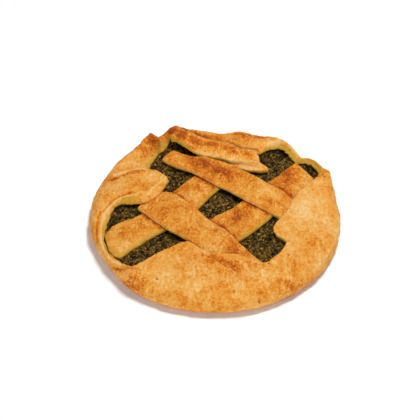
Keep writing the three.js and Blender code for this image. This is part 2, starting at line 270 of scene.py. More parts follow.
def pit_marks(co, bottom, rim):
    """1 in the small burst bubbles, falling to 0 between bottom and rim, in mm from their middles."""
    marks = np.zeros(len(co))
    for x, y in PITS:
        away = np.hypot(co[:, 0] - x, co[:, 1] - y)
        marks = np.maximum(marks, 1 - ease(away, bottom, rim))
    return marks


def skin_tree(piece):
    piece.data.calc_loop_triangles()
    corners = [tuple(t.vertices) for t in piece.data.loop_triangles]
    return BVHTree.FromPolygons([v.co for v in piece.data.vertices], corners)


def cad_tree(node):
    """The skin of a CAD node as it was packed, for rays."""
    guide = dough_copy(node, node + "_guide")
    tree = skin_tree(guide)
    bpy.data.objects.remove(guide)
    return tree


def facing_gap(piece, tree, limit):
    """Distance in mm from each vertex along its normal to another skin, up to limit."""
    gaps = np.full(len(piece.data.vertices), float(limit))
    for v in piece.data.vertices:
        hit = tree.ray_cast(v.co + v.normal * SKIN_CLEARANCE * MM, v.normal, limit * MM)
        if hit[0] is not None:
            gaps[v.index] = hit[3] / MM
    return gaps


def open_places(filling_tree, cover_trees):
    """Points 1 mm apart on the filling, wherever it is seen from above."""
    down = Vector((0, 0, -1))
    (left, front, _), (right, rear, _) = [[math.ceil(v / MM) for v in corner] for corner in cad_box]
    seen = []
    for i in range(left, right):
        for j in range(front, rear):
            start = Vector((i * MM, j * MM, ABOVE_THE_PIE * MM))
            top = filling_tree.ray_cast(start, down)[0]
            if top is None:
                continue
            covers = [tree.ray_cast(start, down)[0] for tree in cover_trees]
            if all(hit is None or hit.z < top.z for hit in covers):
                seen.append(top)
    return seen


def plan_cloud(points):
    cloud = KDTree(len(points))
    for k, point in enumerate(points):
        cloud.insert((point.x, point.y, 0), k)
    cloud.balance()
    return cloud


def beside(piece, cloud, reach, toward=0.0):
    """1 by a cloud of plan points, falling to 0 at reach mm from it.

    toward, in mm, widens it on the viewer's side of the piece and narrows it behind.
    """
    flat = [Vector((v.co.x, v.co.y - toward * MM, 0)) for v in piece.data.vertices]
    gaps = np.array([min(cloud.find(place)[2] / MM, reach) for place in flat])
    return 1 - ease(gaps, TOUCHING, reach)


# ---------------------------------------------------------------- lines on the pie
BACK_CREASE = [
    (-42, 121), (-33, 119), (-21, 114), (-11, 109), (-2, 106), (6, 105),
    (14, 102), (22, 96), (29, 91), (36, 89), (46, 87),
]
FLAP_FOOT = [(-8, 75), (0, 72), (8, 70), (15, 67), (26, 66), (36, 64), (46, 61)]
CURL_CREASE = [
    (-86, 17), (-91, 14), (-100, 12), (-107, 8), (-112, 0), (-117, -8),
    (-119, -18), (-118, -37), (-115, -54), (-110, -67), (-101, -77), (-91, -84),
]
CURL_RIDGE = [
    (-81, 12), (-93, 12), (-102, 8), (-108, 1), (-112, -8), (-114, -20),
    (-114, -31), (-112, -45), (-109, -57), (-104, -66), (-98, -73), (-91, -79),
]
CURL_FOOT = [
    (-79, 8), (-84, 9), (-93, 7), (-98, 2), (-104, -5), (-107, -14), (-109, -23), (-111, -30),
    (-111, -37), (-110, -49), (-107, -56), (-102, -63), (-95, -66), (-91, -70), (-83, -75),
]
BACK_LIP = [
    (111, 53), (108, 61), (102, 68), (96, 71), (88, 72),
    (84, 79), (79, 87), (73, 93), (65, 94), (57, 91),
]
LEFT_BACK_LIP = [(-53, 99), (-61, 92), (-65, 83), (-71, 71), (-72, 60)]
RIGHT_FLAP_EDGE = [(59, -29), (64, -23), (73, -9), (80, 8), (89, 22), (100, 34)]
# The line of painted shade down the back-left notch.
NOTCH_SHADE = [(-61, 103), (-61, 97), (-61, 90)]
LEFT_FLAP_EDGE = [(-49, 44), (-53, 35), (-59, 28), (-65, 20), (-70, 13), (-76, 8)]
CREAM_LIP = [(-106, 46), (-103, 47), (-95, 51), (-86, 56), (-80, 59), (-73, 61)]
LEFT_FLAP_BACK = [(-108, 40), (-102, 44), (-92, 50), (-81, 54), (-70, 55.5), (-62, 53)]
LOW_LEFT_FOLD = [(-103, -64), (-97, -73), (-90, -80), (-82, -86), (-73, -90)]
LOW_LEFT_CREASE = [(-114, -54), (-108, -66), (-102, -74), (-94, -81), (-86, -87)]
RIGHT_CREASE = [(92, -38), (97, -44), (103, -52), (110, -58)]
FRONT_STREAK = [(46, -99), (55, -103), (66, -102), (80, -104)]
PITS = [(70.5, -71.8), (50.7, -84.2), (17.3, -115.3), (41.1, -120.5), (-55, -100), (-88, 40)]
PIT_DEPTH = 1.2
PIT_HOLLOW = (0.3, 1.7)  # bottom and rim, in mm from the middle
# How far the pits are painted darker: bottom and rim, in mm from the middle.
PIT_DARKENING = (0.5, 1.5)
PIT_LEVELS = (9, 12)

# Creases and ridges: line, half width, height, and the level that it fades in up to, all in mm.
PRESSED_LINES = {
    "back crease": (BACK_CREASE, 3.2, -2.4, 26),
    "flap foot": (FLAP_FOOT, 1.6, -0.8, 21),
    "curl crease": (CURL_CREASE, 2.0, -1.1, 15),
    "curl ridge": (CURL_RIDGE, 2.0, 0.8, 15),
    "cream lip": (CREAM_LIP, 3.4, 2.2, 20),
    "left flap back": (LEFT_FLAP_BACK, 1.8, -1.5, 22),
    "left flap edge": (LEFT_FLAP_EDGE, 2.0, 0.5, 21),
    "low left fold": (LOW_LEFT_FOLD, 1.8, -0.9, 13),
    "low left crease": (LOW_LEFT_CREASE, 1.8, -1.0, 13),
    "right crease": (RIGHT_CREASE, 2.4, -0.8, 16),
    "front streak": (FRONT_STREAK, 2.0, -0.6, 14),
}
PRESSED_FADE = 2  # mm below that level where it begins

# Coloured lines: line, reach in mm, the heights that it fades in between, amount.
# Painted shade: browner along the pressed creases and folds, and on the left flap's back also its browned
# crest.
CREASE_SHADE_AND_BROWN_LINES = [
    (CURL_CREASE, 2.2, (12, 16), 0.3),
    (LEFT_FLAP_BACK, 3.2, (20, 23), 0.3),
    (LOW_LEFT_FOLD, 1.8, (11, 14), 0.3),
    (LOW_LEFT_CREASE, 1.8, (11, 14), 0.3),
]
UNBROWNED_LINES = [(CURL_RIDGE, 2.4, (12, 16), 1.0), (CREAM_LIP, 3.6, (20, 23), 1.0)]
# Paler lines: the dough's own pale ridges, edge and lips, and a painted highlight along the right flap's
# edge.
PALE_AND_HIGHLIGHT_LINES = [
    (RIGHT_FLAP_EDGE, 3, (22, 25), 0.4),
    (LEFT_FLAP_EDGE, 2.6, (20, 22), 0.64),
    (CURL_RIDGE, 2.4, (12, 16), 0.8),
    (CREAM_LIP, 3.6, (20, 23), 1.6),
]
CURL_STAIN = [(CURL_FOOT, 6.5, (10, 12), 1.0)]
LIP_STAINS = [(BACK_LIP, 6.0, (17, 19), 0.9), (LEFT_BACK_LIP, 4.5, (15, 17), 0.7)]
# Painted shade: dark lines just behind the back flap's crest, along its foot and down the back-left notch.
PAINTED_SHADE_LINES = [
    (BACK_CREASE, 2.0, (24, 26), 1.0),
    (FLAP_FOOT, 1.6, (21, 23), 0.3),
    (NOTCH_SHADE, 3.2, (17, 20), 0.5),
]

# How the crust is read. Heights and places in mm, slopes and facings as parts of the normal.
CRUST_FLAT = (0.55, 0.9)  # slopes of the dough that lies flat
HIGH_WALL_HEIGHTS = (22, 27)
HIGH_WALL_BACK = (20, 70)  # how far back it stands
HIGH_WALL_OUTWARD = (0.1, 0.6)
HIGH_WALL_BROWN = 0.3
CUT_SLOPES = (0.3, 0.78)
CUT_INWARD = (0.1, 0.4)
CUT_RING = (20, 40)
PALE_HEIGHTS = (10, 16)
SMEAR_HEIGHTS = (18, 21)
STAIN_HEIGHTS = (5, 9)
CRUST_STAIN_REACH = 5.0
STAIN_OFF_FLAT = 0.8  # share of the stain that the flat dough is spared
STAIN_OFF_UNBROWNED = 0.7
BROWN_OFF_UNBROWNED = 0.8
BROWN_OVER_CUT = 2.2  # how soon browning hides the crumb of a cut face

# How the strips are read.
STRIP_FLAT = (0.25, 0.85)
STRIP_CUT_SLOPES = (0.35, 0.8)
STRIP_SIDE_BROWN = 0.35  # share of the browning that reaches its sides
STRIP_FLAKY = 0.15
# Painted shade on a cross strip beside the long strips that lie over it: its reach and amount.
OVERHEAD_REACH = 6.0  # mm from a long strip that a cross strip is browner
OVERHEAD_SHADE = 0.42

# Stain of the filling on a strip: its reach and its shift to the viewer in mm, and what the top is spared.
LONG_STRIP_STAIN = (3.6, 0.5, 0.5)
CROSS_STRIP_STAIN = (5.5, 2.0, 0.15)

# ---------------------------------------------------------------- patches on the pie
# Soft ovals: x, y, half length, half width, turn in degrees, amount.
CRUST_BROWN_AND_SHADE = [
    (-45, 110, 15, 9, -20, 0.56),
    (-67, 99, 10, 8, 50, 0.5),
    (-12, 112, 34, 6, -10, 0.34),
    (45, 110, 34, 6, -15, 0.34),
    # On the back flap these ovals are partly browning and partly painted shade, where its face is lit
    # less.
    (-26, 100, 24, 7, -25, 0.2),
    (5, 89, 26, 8, -25, 0.2),
    (30, 78, 18, 8, -20, 0.2),
    (-8, 91, 38, 6, -20, 0.16),
    (-28, 98, 20, 8, -25, 0.1),
    (-81, 49, 26, 4, 5, 0.3),
    (-78, 28, 14, 6, 25, 0.14),
    (-88, 84, 22, 9, 45, 0.1),
    (6.4, -80, 17, 7, -18, 0.3),
    (-2, -75, 10, 6, -20, 0.15),
    (-24.4, -65, 10, 8, 0, 0.2),
    (108, 42, 9, 7, 60, 0.16),
    (103, -51, 11, 2.6, -50, 0.26),
    (66, -103, 19, 3, -4, 0.24),
    (-16, -124, 22, 5, 0, 0.08),
    (27, -119, 18, 5, 10, 0.08),
    (60, -109, 24, 7, 20, 0.14),
    (-43, -114, 22, 6, -15, 0.16),
    (-118, -40, 5, 42, 0, 0.06),
    (-80, -104, 26, 7, -35, 0.2),
    (120, 0, 6, 22, 0, 0.08),
]
CRUST_PALE = [
    (88, -2, 28, 20, 70, 0.45),
    (105, -20, 24, 26, 80, 0.42),
    (104, 20, 12, 22, 0, 0.2),
    (108, -67, 9, 17, -35, 0.4),
    (80, -60, 14, 10, -35, 0.2),
    (-14, -105, 14, 6, 5, 0.3),
    (0, -118, 60, 14, 0, 0.18),
    (-48, -93, 16, 8, -10, 0.2),
    (28, -99, 18, 6, 10, 0.2),
    (-100, 62, 18, 8, 55, 0.2),
    (-118, 5, 8, 20, 0, 0.14),
    (-14, 78, 20, 4, -25, 0.5),
    (14, 71, 30, 4, -15, 0.5),
    (44, 70, 5, 9, 0, 0.4),
    (34, 60, 16, 4, -15, 0.6),
    (62, 98, 16, 5, 0, 0.8),
    (84, 84, 8, 8, 0, 0.5),
]
CRUST_STAIN = [
    (-62, 94, 9, 3, 80, 0.7),
    (-57, 99, 4, 2.5, 20, 0.7),
    (51, 72, 4, 14, 0, 0.8),
    (55, 58, 5, 4, 0, 0.8),
]
SHADY_FILLING = [
    (-34, 101, 20, 7, -38, 0.7),
    (14, 25, 14, 6, -35, 0.5),
    (-14, 2, 6, 5, 0, 0.35),
    (-70, 76, 5, 14, 0, 0.4),
    (77, 88, 9, 10, -40, 0.5),
    (52, 74, 5, 9, 0, 0.4),
    (100, 56, 8, 9, 0, 0.4),
    (54, -17, 10, 7, 40, 0.4),
    (64, -34, 6, 9, 0, 0.35),
    (-42, -36, 10, 6, -30, 0.4),
    (-104, -18, 5, 9, 0, 0.35),
]
FLAKY_CRUST = [(48, -90, 34, 18, -15, 0.9), (-20, -90, 26, 14, 0, 0.4)]
STRIP_BROWN = {
    "long_strip_front": [
        (-45, -8, 16, 10, 0, 0.08),
        (-10, -38, 12, 8, -45, 0.08),
        (22, -66, 16, 8, -40, 0.2),
        (-60, 8, 10, 6, 0, 0.1),
    ],
    "long_strip_back": [
        (-13, 64, 24, 13, -30, 0.4),
        (12, 47, 14, 9, -35, 0.22),
        (36, 30, 16, 10, -38, 0.1),
        (60, 2, 10, 6, -40, 0.1),
    ],
    "cross_strip_left": [
        (-38, 20, 18, 12, 45, 0.26),
        (-24, 34, 12, 10, 40, 0.12),
        (-88, -36, 16, 6, 25, 0.2),
        (-70, -28, 9, 7, 20, 0.14),
    ],
    "cross_strip_right": [
        (28, -10, 16, 12, 45, 0.34),
        (18, -20, 12, 10, 45, 0.14),
        (70, 40, 20, 15, 45, 0.38),
        (84, 56, 12, 10, 45, 0.2),
    ],
}
STRIP_PALE = {
    "long_strip_front": [
        (-74, 4, 9, 6, 0, 0.1),
        (40, -78, 14, 6, -40, 0.2),
    ],
    "long_strip_back": [
        (58, 18, 18, 10, -38, 0.4),
        (-40, 78, 12, 5, -30, 0.3),
        (-10, 74, 14, 3, -30, 0.4),
    ],
    "cross_strip_left": [
        (-104, -48, 9, 12, 20, 0.2),
        (-80, -50, 16, 5, 35, 0.3),
        (-92, -24, 16, 3, 30, 0.4),
    ],
    "cross_strip_right": [
        (41, -14, 12, 6, 45, 0.5),
        (92, 38, 14, 8, 45, 0.4),
    ],
}

# ---------------------------------------------------------------- colours and patterns
# Golden colours from palest to darkest: place on the ramp, linear colour.
CRUST_COLOURS = [
    (0.0, (0.88, 0.55, 0.21)),
    (0.22, (0.84, 0.41, 0.085)),
    (0.48, (0.80, 0.305, 0.028)),
    (0.66, (0.71, 0.20, 0.006)),
    (0.82, (0.54, 0.122, 0.003)),
    (1.0, (0.36, 0.066, 0.002)),
]
STRIP_COLOURS = [
    (0.0, (0.87, 0.49, 0.14)),
    (0.22, (0.81, 0.36, 0.052)),
    (0.48, (0.74, 0.245, 0.014)),
    (0.66, (0.62, 0.152, 0.004)),
    (0.82, (0.46, 0.09, 0.002)),
    (1.0, (0.30, 0.05, 0.002)),
]
PEACH = (0.88, 0.42, 0.11)
FLECK = (0.52, 0.14, 0.012)
CRUMB = (0.84, 0.47, 0.16)
STAIN = (0.60, 0.32, 0.022)
# The dark of the painted shade lines and of the pits.
PAINTED_SHADE_DARK = (0.25, 0.065, 0.008)
LEAF_BROWNS = [
    (0.0, (0.004, 0.003, 0.001)),
    (0.28, (0.034, 0.016, 0.002)),
    (0.52, (0.13, 0.058, 0.007)),
    (0.76, (0.27, 0.125, 0.016)),
    (1.0, (0.48, 0.25, 0.045)),
]
LEAF_GREENS = [
    (0.0, (0.004, 0.005, 0.001)),
    (0.38, (0.022, 0.021, 0.003)),
    (0.68, (0.085, 0.072, 0.008)),
    (1.0, (0.22, 0.18, 0.026)),
]

# Loose bits on the filling: how many in a draft and for keeps, seed, flatness, colours, shift of tone.
LEAVES = {
    "leaf_bits_dark": (250, 1000, 7, 0.4, LEAF_BROWNS, -0.08),
    "leaf_bits_green": (250, 900, 19, 0.28, LEAF_GREENS, 0.12),
    "leaf_bits_brown": (150, 1000, 31, 0.35, LEAF_BROWNS, 0.17),
}

# Noise patterns on object coordinates in metres: scale, detail, roughness, distortion.
BROAD_CLOUDS = (30, 2, 0.5, 0.0)
BLOTCHES = (85, 3, 0.55, 0.3)
GRAIN = (400, 3, 0.66, 0.0)
FINE_GRAIN = (1100, 2, 0.6, 0.0)
FLAKY_STROKES = (230, 3, 0.55, 1.4)
PEACH_CLOUDS = (60, 3, 0.6, 0.0)
FLECK_CLOUDS = (85, 2, 0.5, 0.0)
RAGGED_EDGES = (260, 3, 0.6, 0.0)
SHEEN_CLOUDS = (160, 3, 0.5, 0.0)
LEAF_CLUMPS = (240, 3, 0.6, 0.0)
LEAF_STREAKS = (1100, 3, 0.6, 0.0)
FLECK_CELLS = 170.0
LEAF_CELLS = 620.0

# Baked dough: its place on the ramp of colours, and what sways it and raises it.
MEAN_TONE = 0.42
TONE_SHARES = {BROAD_CLOUDS: 0.55, BLOTCHES: 0.85, GRAIN: 1.25, FINE_GRAIN: 0.7}
RELIEF_SHARES = {BLOTCHES: 1.1, GRAIN: 1.6, FINE_GRAIN: 0.6}
BROWNED_EVEN, BROWNED_BLOTCHY = 0.6, 0.8
PALE_SHARE = 0.5
FLAKY_ALL_OVER, FLAKY_SHARE = 0.26, 0.4
STROKE_SHAPE = {"Scale": (1.0, 0.42, 0.6), "Rotation": (0, 0, 0.35)}
STROKE_CRESTS = (0.54, 0.68)
STROKE_TROUGHS = (0.42, 0.3)
TROUGH_SHARE = 0.6
CREST_RELIEF = 0.35

# What lies on it: the limits of the patterns, and the shares of the colours.
PEACH_LIMITS = (0.45, 0.72)
PEACH_SHARE = 0.5
LIGHT_DOUGH = (0.2, 0.36)  # green channel of dough light enough for peach
FLECK_LIMITS = (0.10, 0.26)
FLECK_FROM = 0.53
FLECK_SHARE = 0.55
RAGGED_MARKS = {"Cut Face": (0.8, 0.75, CRUMB), "Stained": (1.2, 0.92, STAIN)}  # raggedness first
DOUGH_SHEEN_SHARE = 0.3
DOUGH_SPECULAR = 0.16
DOUGH_RELIEF = 1.1  # mm
CRUST_ROUGHNESS = 0.42
STRIP_ROUGHNESS = 0.38

# Chopped leaf: shares of the clumps, of the streaks and of a bit's own tone.
CLUMP_SHARE = 1.3
STREAK_SHARE = 0.5
STREAK_SHEEN = 0.35
OWN_SHARE = 0.8
MASS_TONE = 0.08
SHADE_SHARE = 0.8
GREEN_FROM = 0.68
LEAF_SPECULAR = 0.1
LEAF_RELIEF = 0.4  # mm
LEAF_RELIEF_STRENGTH = 0.8
MASS_ROUGHNESS = 0.36
BIT_ROUGHNESS = 0.3


# ---------------------------------------------------------------- filling
def make_filling(crust_cad_tree):
    piece = dough_copy("filling", "chopped_filling")
    even_skin(piece, FILLING_VOXEL, FILLING_ROUNDS)
    faces_up = ease(read_vertices(piece, "normal")[:, 2], *FILLING_SLOPES)
    shown = ease(facing_gap(piece, crust_cad_tree, FILLING_AIR_SEARCH), *FILLING_AIR) * faces_up
    weigh(piece, "top", shown * ease(points_of(piece)[:, 2], *FILLING_HEIGHTS))
    crinkle(piece, FILLING_RELIEF, "top")
    thin_out(piece, shown, FILLING_TRIANGLES)
    note(piece, "shaded", patches(points_of(piece), SHADY_FILLING))
    return piece


def leaf_bit(name, seed, flatness):
    """One crumpled bit of chopped leaf, about 2 units across."""
    bpy.ops.object.select_all(action="DESELECT")
    bpy.ops.mesh.primitive_ico_sphere_add(subdivisions=2, radius=1.0, location=(0, 0, 0))
    bit = bpy.context.object
    bit.name = name
    bpy.ops.object.mode_set(mode="EDIT")
    bpy.ops.mesh.select_all(action="SELECT")
    bpy.ops.transform.resize(value=(LEAF_LENGTH, LEAF_WIDTH, flatness))
    bpy.ops.transform.translate(value=[seed * step for step in LEAF_STRIDE])
    bpy.ops.object.mode_set(mode="OBJECT")
    crinkle(bit, LEAF_CRUMPLE, unit=1.0)
    bpy.ops.object.mode_set(mode="EDIT")
    bpy.ops.mesh.select_all(action="SELECT")
    bpy.ops.transform.translate(value=[-seed * step for step in LEAF_STRIDE])
    bpy.ops.object.mode_set(mode="OBJECT")
    return bit


def lay_bit(name, rng, shapes, place):
    """A copy of one of the shapes, turned and tipped at random on a place of the filling."""
    half = rng.choice(LEAF_HALVES) * MM
    turn = Matrix.Rotation(rng.uniform(0, math.tau), 4, "Z")
    tip = Matrix.Rotation(rng.gauss(0, LEAF_TIP[0]), 4, "X")
    tip = tip @ Matrix.Rotation(rng.gauss(0, LEAF_TIP[1]), 4, "Y")
    bit = bpy.data.objects.new(name + "_bit", rng.choice(shapes).data.copy())
    bpy.context.scene.collection.objects.link(bit)
    drift = [rng.uniform(-LEAF_DRIFT, LEAF_DRIFT) * MM for _ in range(2)]
    shift = Vector((*drift, rng.uniform(LEAF_SINK, LEAF_RISE) * half))
    bit.matrix_world = Matrix.Translation(place + shift) @ turn @ tip @ Matrix.Scale(half, 4)
    shade = patches(np.array([[place.x, place.y]]) / MM, SHADY_FILLING)[0]
    tone = bit.data.attributes.new(name="leaf_tone", type="FLOAT", domain="POINT")
    tone.data.foreach_set("value", [rng.random() - shade] * len(bit.data.vertices))
    return bit


def scatter_leaves(name, seen):
    """Loose bits of chopped leaf on the filling where it shows, joined in one piece."""
    draft_count, full_count, seed, flatness, _, _ = LEAVES[name]
    rng = random.Random(seed)
    shapes = [leaf_bit(f"{name}_shape_{k}", seed + k, flatness) for k in range(LEAF_SHAPES)]
    places = rng.sample(seen, full_count)
    bits = [lay_bit(name, rng, shapes, place) for place in places]
    for shape in shapes:
        bpy.data.objects.remove(shape)
    bpy.ops.object.select_all(action="DESELECT")
    for bit in bits:
        bit.select_set(True)
    bpy.context.view_layer.objects.active = bits[0]
    bpy.ops.object.join()
    piece = bpy.context.object
    piece.name = name
    bpy.ops.object.transform_apply(location=True, rotation=True, scale=True)
    return piece


# ---------------------------------------------------------------- dough
def make_crust(filling_cad_tree):
    piece = dough_copy("crust", "baked_crust")
    even_skin(piece, CRUST_VOXEL, DOUGH_ROUNDS)
    co = points_of(piece)
    off_the_filling = ease(facing_gap(piece, filling_cad_tree, CRUST_AIR_SEARCH), *CRUST_AIR)
    shown = off_the_filling * ease(co[:, 2], *CRUST_HEIGHTS)
    weigh(piece, "outside", shown)
    crinkle(piece, CRUST_RELIEF, "outside")
    for name, (line, half_width, height, level) in PRESSED_LINES.items():
        amounts = near_line(co, line, half_width) * shown * ease(co[:, 2], level - PRESSED_FADE, level)
        press(piece, name, amounts, height)
    blisters = blister_marks(co) * shown * ease(co[:, 2], *BLISTER_LEVELS)
    press(piece, "blisters", blisters, BLISTER_HEIGHT)
    pits = pit_marks(co, *PIT_HOLLOW) * shown * ease(co[:, 2], *PIT_LEVELS)
    press(piece, "pits", pits, -PIT_DEPTH)
    thin_out(piece, shown, CRUST_TRIANGLES)
    return piece


def blister_marks(co):
    """Small baked blisters, spread at random over the border and the flaps."""
    rng = random.Random(BLISTER_SEED)
    raised = np.zeros(len(co))
    for _ in range(BLISTER_COUNT):
        angle, out = rng.uniform(0, math.tau), rng.uniform(*BLISTER_RING)
        half_width = rng.uniform(*BLISTER_WIDTHS)
        away = np.hypot(co[:, 0] - out * math.cos(angle), co[:, 1] - out * math.sin(angle))
        raised = np.maximum(raised, rng.uniform(*BLISTER_SHARES) * (1 - ease(away, 0, half_width)))
    return raised


def make_strip(node):
    piece = dough_copy(node, "baked_" + node)
    even_skin(piece, STRIP_VOXEL, DOUGH_ROUNDS)
    weigh(piece, "top", ease(read_vertices(piece, "normal")[:, 2], *STRIP_SLOPES))
    crinkle(piece, STRIP_RELIEF, "top")
    return piece


def read_crust(piece, windows):
    """Works out where the crust is browner from baking and from painted shade, pale, flaky, cut and
    stained by the filling, and where its painted shade lines and darker pits lie.

    windows is the plan of the filling that shows.
    """
    co, no = points_of(piece), read_vertices(piece, "normal")
    z = co[:, 2]
    radius = np.hypot(co[:, 0], co[:, 1])
    inward = -(no[:, 0] * co[:, 0] + no[:, 1] * co[:, 1]) / np.maximum(radius, 1)
    flat = ease(no[:, 2], *CRUST_FLAT)
    unbrowned = np.clip(marked(co, UNBROWNED_LINES), 0, 1)
    high_wall = ease(z, *HIGH_WALL_HEIGHTS) * ease(co[:, 1], *HIGH_WALL_BACK)
    high_wall *= ease(-inward, *HIGH_WALL_OUTWARD) * (1 - flat)
    # Browner from baking, with painted shade along the creases and on the back flap's face.
    brown = patches(co, CRUST_BROWN_AND_SHADE) + marked(co, CREASE_SHADE_AND_BROWN_LINES) + HIGH_WALL_BROWN * high_wall
    pale = patches(co, CRUST_PALE) * ease(z, *PALE_HEIGHTS) + marked(co, PALE_AND_HIGHLIGHT_LINES)
    cut = 1 - ease(no[:, 2], *CUT_SLOPES)
    cut *= ease(inward, *CUT_INWARD) * ease(radius, *CUT_RING)
    stain = beside(piece, windows, CRUST_STAIN_REACH) * (1 - STAIN_OFF_FLAT * flat)
    stain += marked(co, CURL_STAIN) * (1 - STAIN_OFF_UNBROWNED * unbrowned) + marked(co, LIP_STAINS)
    stain += patches(co, CRUST_STAIN) * ease(z, *SMEAR_HEIGHTS) * (1 - flat)
    pits = pit_marks(co, *PIT_DARKENING) * ease(z, *PIT_LEVELS)
    note(piece, "browned_and_shade", brown * (1 - BROWN_OFF_UNBROWNED * unbrowned))
    note(piece, "pale", pale)
    note(piece, "flaky", patches(co, FLAKY_CRUST))
    note(piece, "cut_face", cut * (1 - np.clip(BROWN_OVER_CUT * brown, 0, 1)))
    note(piece, "stained", stain * ease(z, *STAIN_HEIGHTS))
    # Painted shade lines, and darker pits.
    note(piece, "shade_lines_and_dark_pits", marked(co, PAINTED_SHADE_LINES) + pits)


def read_strip(piece, node, windows, overhead):
    """Works out where a strip is browner, pale, cut or stained by the filling.

    windows is the plan of the filling that shows, and overhead that of the
    long strips, beside which a cross strip gets painted shade.
    """
    co, no = points_of(piece), read_vertices(piece, "normal")
    crossing = node in CROSS_STRIPS
    reach, toward, spared = CROSS_STRIP_STAIN if crossing else LONG_STRIP_STAIN
    flat = ease(no[:, 2], *STRIP_FLAT)
    brown = patches(co, STRIP_BROWN[node]) * (STRIP_SIDE_BROWN + (1 - STRIP_SIDE_BROWN) * flat)
    if crossing:
        # Painted shade beside the long strips that lie over a cross strip.
        brown += OVERHEAD_SHADE * beside(piece, overhead, OVERHEAD_REACH)
    note(piece, "browned_and_shade", brown)
    note(piece, "pale", patches(co, STRIP_PALE[node]))
    note(piece, "flaky", np.full(len(co), STRIP_FLAKY))
    note(piece, "cut_face", 1 - ease(no[:, 2], *STRIP_CUT_SLOPES))
    note(piece, "stained", beside(piece, windows, reach, toward) * (1 - spared * flat))
    note(piece, "shade_lines_and_dark_pits", np.zeros(len(co)))


# ---------------------------------------------------------------- finishes
class Bench:
    """Lays out the nodes of one material or group, and links them by name."""

    def __init__(self, tree):
        self.tree = tree
        self.column = 0

    def feed(self, node, links):
        for key, source in links.items():
            self.tree.links.new(source, node.inputs[key])

    def add(self, kind, values=None, links=None, **settings):
        node = self.tree.nodes.new(kind)
        node.location = (self.column * 190, -(self.column % 4) * 170)
        self.column += 1
        for key, value in settings.items():
            setattr(node, key, value)
        for key, value in (values or {}).items():
            node.inputs[key].default_value = value
        self.feed(node, links or {})
        return node

    def fill(self, socket, value):
        """Sets a socket from a number or a colour, or links another socket to it."""
        if isinstance(value, (int, float)):
            socket.default_value = value
        elif isinstance(value, tuple):
            socket.default_value = (*value, 1.0)
        else:
            self.tree.links.new(value, socket)

    def math(self, operation, a, b, clamp=False):
        node = self.add("ShaderNodeMath", operation=operation, use_clamp=clamp)
        self.fill(node.inputs[0], a)
        self.fill(node.inputs[1], b)
        return node.outputs[0]

    def times(self, a, b, clamp=False):
        return self.math("MULTIPLY", a, b, clamp)

    def minus(self, a, b):
        return self.math("SUBTRACT", a, b)

    def add_up(self, first, *others, clamp=False):
        """The sum of two or more, held between 0 and 1 at the end with clamp."""
        total = first
        for k, value in enumerate(others, 1):
            total = self.math("ADD", total, value, clamp and k == len(others))
        return total

    def sway(self, pattern, share):
        """A pattern's way above or below its middle, times a share."""
        return self.times(self.minus(pattern, 0.5), share)

    def between(self, value, low, high, start=0.0, end=1.0):
        """Takes low to high as start to end, and holds it there beyond them."""
        limits = {"From Min": low, "From Max": high, "To Min": start, "To Max": end}
        return self.add("ShaderNodeMapRange", limits, {"Value": value}).outputs["Result"]

    def noise(self, coords, scale, detail, rough, distortion):
        values = {"Scale": scale, "Detail": detail, "Roughness": rough, "Distortion": distortion}
        return self.add("ShaderNodeTexNoise", values, {"Vector": coords}).outputs["Fac"]

    def cells(self, coords, scale):
        values = {"Scale": scale, "Randomness": 1.0}
        return self.add("ShaderNodeTexVoronoi", values, {"Vector": coords}).outputs

    def channels(self, colour):
        return self.add("ShaderNodeSeparateColor", links={"Color": colour}).outputs

    def blend(self, amount, a, b):
        node = self.add("ShaderNodeMix", data_type="RGBA", blend_type="MIX")
        for name, value in (("Factor", amount), ("A", a), ("B", b)):
            self.fill(next(s for s in node.inputs if s.name == name and s.enabled), value)
        return next(s for s in node.outputs if s.enabled)

    def ramp(self, amount, stops):
        node = self.add("ShaderNodeValToRGB", links={"Fac": amount})
        ramp = node.color_ramp
        while len(ramp.elements) < len(stops):
            ramp.elements.new(0.5)
        for element, (place, colour) in zip(ramp.elements, stops):
            element.position = place
            element.color = (*colour, 1.0)
        return node.outputs["Color"]

    def relief(self, height, strength, distance):
        values = {"Strength": strength, "Distance": distance}
        return self.add("ShaderNodeBump", values, {"Height": height}).outputs["Normal"]

    def attribute(self, name):
        return self.add("ShaderNodeAttribute", attribute_name=name).outputs["Fac"]

    def object_coords(self):
        return self.add("ShaderNodeTexCoord").outputs["Object"]


def new_group(name, inputs, outputs):
    """An empty shader node group with named sockets, and the bench to fill it on."""
    group = bpy.data.node_groups.new(name, "ShaderNodeTree")
    for way, sockets in (("INPUT", inputs), ("OUTPUT", outputs)):
        for socket, kind in sockets.items():
            group.interface.new_socket(socket, in_out=way, socket_type="NodeSocket" + kind)
    bench = Bench(group)
    return group, bench, bench.add("NodeGroupInput").outputs


def new_finish(name):
    """An empty material, the bench to fill it on and its shader."""
    material = bpy.data.materials.new(name)
    material.use_nodes = True
    return material, Bench(material.node_tree), material.node_tree.nodes["Principled BSDF"]


